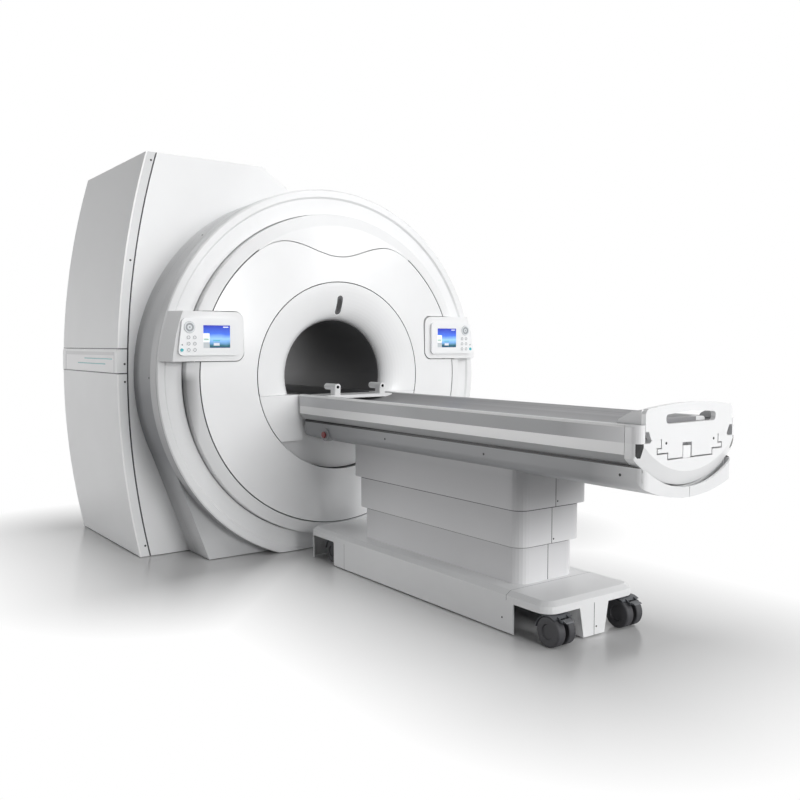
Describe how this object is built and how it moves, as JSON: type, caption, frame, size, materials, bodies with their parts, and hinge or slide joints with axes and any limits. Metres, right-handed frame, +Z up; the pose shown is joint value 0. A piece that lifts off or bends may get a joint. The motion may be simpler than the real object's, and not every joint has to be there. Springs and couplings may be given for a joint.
{
  "type": "mri scanner",
  "caption": "Closed-bore MRI scanner: round-fronted gantry with bulged cabinet, and a docked patient table with telescoping pedestal, sliding cradle and casters.",
  "frame": {"origin": "on the floor under the middle of the model's box", "axes": "+Z up, +Y along the bore from the patient table towards the rear of the cabinet, +X to the right seen from the table"},
  "size_m": [2.1504, 3.603, 2.093],
  "materials": {
    "white_cover": "satin gloss",
    "panel_white": "gloss",
    "grey_trim": "satin",
    "stage_grey": "satin",
    "tunnel_grey": "satin",
    "window_glass": "gloss",
    "display": "gloss",
    "dial_grey": "satin",
    "teal_key": "gloss",
    "estop_red": "gloss",
    "steel": "satin",
    "coil_resin": "matte",
    "caster_grey": "satin",
    "wheel_rubber": "matte",
    "pedal_grey": "satin"
  },
  "bodies": {
    "gantry": {"base_plinth": "steel", "magnet_vessel": "steel", "coil_assembly": "coil_resin", "bore_liner": "tunnel_grey", "bore_bridge": "tunnel_grey", "drum_cover": "white_cover", "front_ring": "white_cover", "front_frame": "white_cover", "front_panel": "white_cover", "bore_funnel": "white_cover", "light_window": "window_glass", "bridge_cover": "white_cover", "recess_panel": "white_cover", "panel_module_left": "panel_white", "panel_module_right": "panel_white", "display_screens": "display", "cabinet_front": "white_cover", "cabinet_top": "white_cover", "cabinet_rear": "white_cover", "rear_funnel": "white_cover", "side_upper_left": "white_cover", "side_upper_right": "white_cover", "side_lower_left": "white_cover", "side_lower_right": "white_cover", "side_band_left": "grey_trim", "side_band_right": "grey_trim"},
    "dial_left_cap": {"dial_left": "dial_grey"},
    "dial_right_cap": {"dial_right": "dial_grey"},
    "start_left_cap": {"start_button_left": "teal_key"},
    "start_right_cap": {"start_button_right": "teal_key"},
    "cart": {"cart_frame": "steel", "cart_deck": "white_cover", "cart_cover_left": "white_cover", "cart_cover_right": "white_cover", "stage_lower": "stage_grey", "column_outer": "steel"},
    "middle_stage": {"stage_middle": "stage_grey"},
    "table": {"stage_upper": "stage_grey", "column_inner": "steel", "hull_left": "white_cover", "hull_right": "white_cover", "table_frame": "white_cover", "side_rails": "grey_trim", "end_cap": "white_cover"},
    "sliding_cradle": {"cradle": "white_cover", "end_plate": "white_cover", "head_plate": "white_cover"},
    "estop_left_cap": {"estop_left": "estop_red"},
    "estop_right_cap": {"estop_right": "estop_red"},
    "swivel_front_left": {"caster_front_left": "caster_grey"},
    "wheel_front_left": {"wheels_front_left": "wheel_rubber"},
    "swivel_front_right": {"caster_front_right": "caster_grey"},
    "wheel_front_right": {"wheels_front_right": "wheel_rubber"},
    "swivel_rear_left": {"caster_rear_left": "caster_grey"},
    "wheel_rear_left": {"wheels_rear_left": "wheel_rubber"},
    "swivel_rear_right": {"caster_rear_right": "caster_grey"},
    "wheel_rear_right": {"wheels_rear_right": "wheel_rubber"},
    "pedal_left": {"brake_pedal_left": "pedal_grey"},
    "pedal_right": {"brake_pedal_right": "pedal_grey"}
  },
  "joints": [
    {"name": "dial_left_press", "type": "slide", "parent": "gantry", "child": "dial_left_cap", "axis": [0, 1, 0], "range_m": [0, 0.002], "stiffness_N_per_m": 1500},
    {"name": "start_left_press", "type": "slide", "parent": "gantry", "child": "start_left_cap", "axis": [0, 1, 0], "range_m": [0, 0.002], "stiffness_N_per_m": 1500},
    {"name": "dial_right_press", "type": "slide", "parent": "gantry", "child": "dial_right_cap", "axis": [0, 1, 0], "range_m": [0, 0.002], "stiffness_N_per_m": 1500},
    {"name": "start_right_press", "type": "slide", "parent": "gantry", "child": "start_right_cap", "axis": [0, 1, 0], "range_m": [0, 0.002], "stiffness_N_per_m": 1500},
    {"name": "table_undock", "type": "slide", "parent": "gantry", "child": "cart", "axis": [0, 1, 0], "range_m": [-0.8, 0]},
    {"name": "swivel_front_left_turn", "type": "hinge", "parent": "cart", "child": "swivel_front_left", "pos_m": [-0.19, -1.3435, 0.12], "axis": [0, 0, 1], "continuous": true},
    {"name": "wheel_front_left_roll", "type": "hinge", "parent": "swivel_front_left", "child": "wheel_front_left", "pos_m": [-0.19, -1.3785, 0.0575], "axis": [1, 0, 0], "continuous": true},
    {"name": "swivel_front_right_turn", "type": "hinge", "parent": "cart", "child": "swivel_front_right", "pos_m": [0.19, -1.3435, 0.12], "axis": [0, 0, 1], "continuous": true},
    {"name": "wheel_front_right_roll", "type": "hinge", "parent": "swivel_front_right", "child": "wheel_front_right", "pos_m": [0.19, -1.3785, 0.0575], "axis": [1, 0, 0], "continuous": true},
    {"name": "swivel_rear_left_turn", "type": "hinge", "parent": "cart", "child": "swivel_rear_left", "pos_m": [-0.17, 0.1815, 0.12], "axis": [0, 0, 1], "continuous": true},
    {"name": "wheel_rear_left_roll", "type": "hinge", "parent": "swivel_rear_left", "child": "wheel_rear_left", "pos_m": [-0.17, 0.1465, 0.0575], "axis": [1, 0, 0], "continuous": true},
    {"name": "swivel_rear_right_turn", "type": "hinge", "parent": "cart", "child": "swivel_rear_right", "pos_m": [0.17, 0.1815, 0.12], "axis": [0, 0, 1], "continuous": true},
    {"name": "wheel_rear_right_roll", "type": "hinge", "parent": "swivel_rear_right", "child": "wheel_rear_right", "pos_m": [0.17, 0.1465, 0.0575], "axis": [1, 0, 0], "continuous": true},
    {"name": "brake_left_press", "type": "hinge", "parent": "swivel_front_left", "child": "pedal_left", "pos_m": [-0.19, -1.42517, 0.10417], "axis": [1, 0, 0], "range_deg": [0, 18]},
    {"name": "brake_right_press", "type": "hinge", "parent": "swivel_front_right", "child": "pedal_right", "pos_m": [0.19, -1.42517, 0.10417], "axis": [1, 0, 0], "range_deg": [0, 18]},
    {"name": "table_lift", "type": "slide", "parent": "cart", "child": "table", "axis": [0, 0, 1], "range_m": [-0.29, 0]},
    {"name": "middle_lift", "type": "slide", "parent": "cart", "child": "middle_stage", "axis": [0, 0, 1], "range_m": [-0.145, 0]},
    {"name": "cradle_travel", "type": "slide", "parent": "table", "child": "sliding_cradle", "axis": [0, 1, 0], "range_m": [0, 1.35]},
    {"name": "estop_left_push", "type": "slide", "parent": "table", "child": "estop_left_cap", "axis": [1, 0, 0], "range_m": [0, 0.004]},
    {"name": "estop_right_push", "type": "slide", "parent": "table", "child": "estop_right_cap", "axis": [-1, 0, 0], "range_m": [0, 0.004]}
  ],
  "couplings": [
    {"joint": "middle_lift", "follows": "table_lift", "ratio": 0.5}
  ]
}
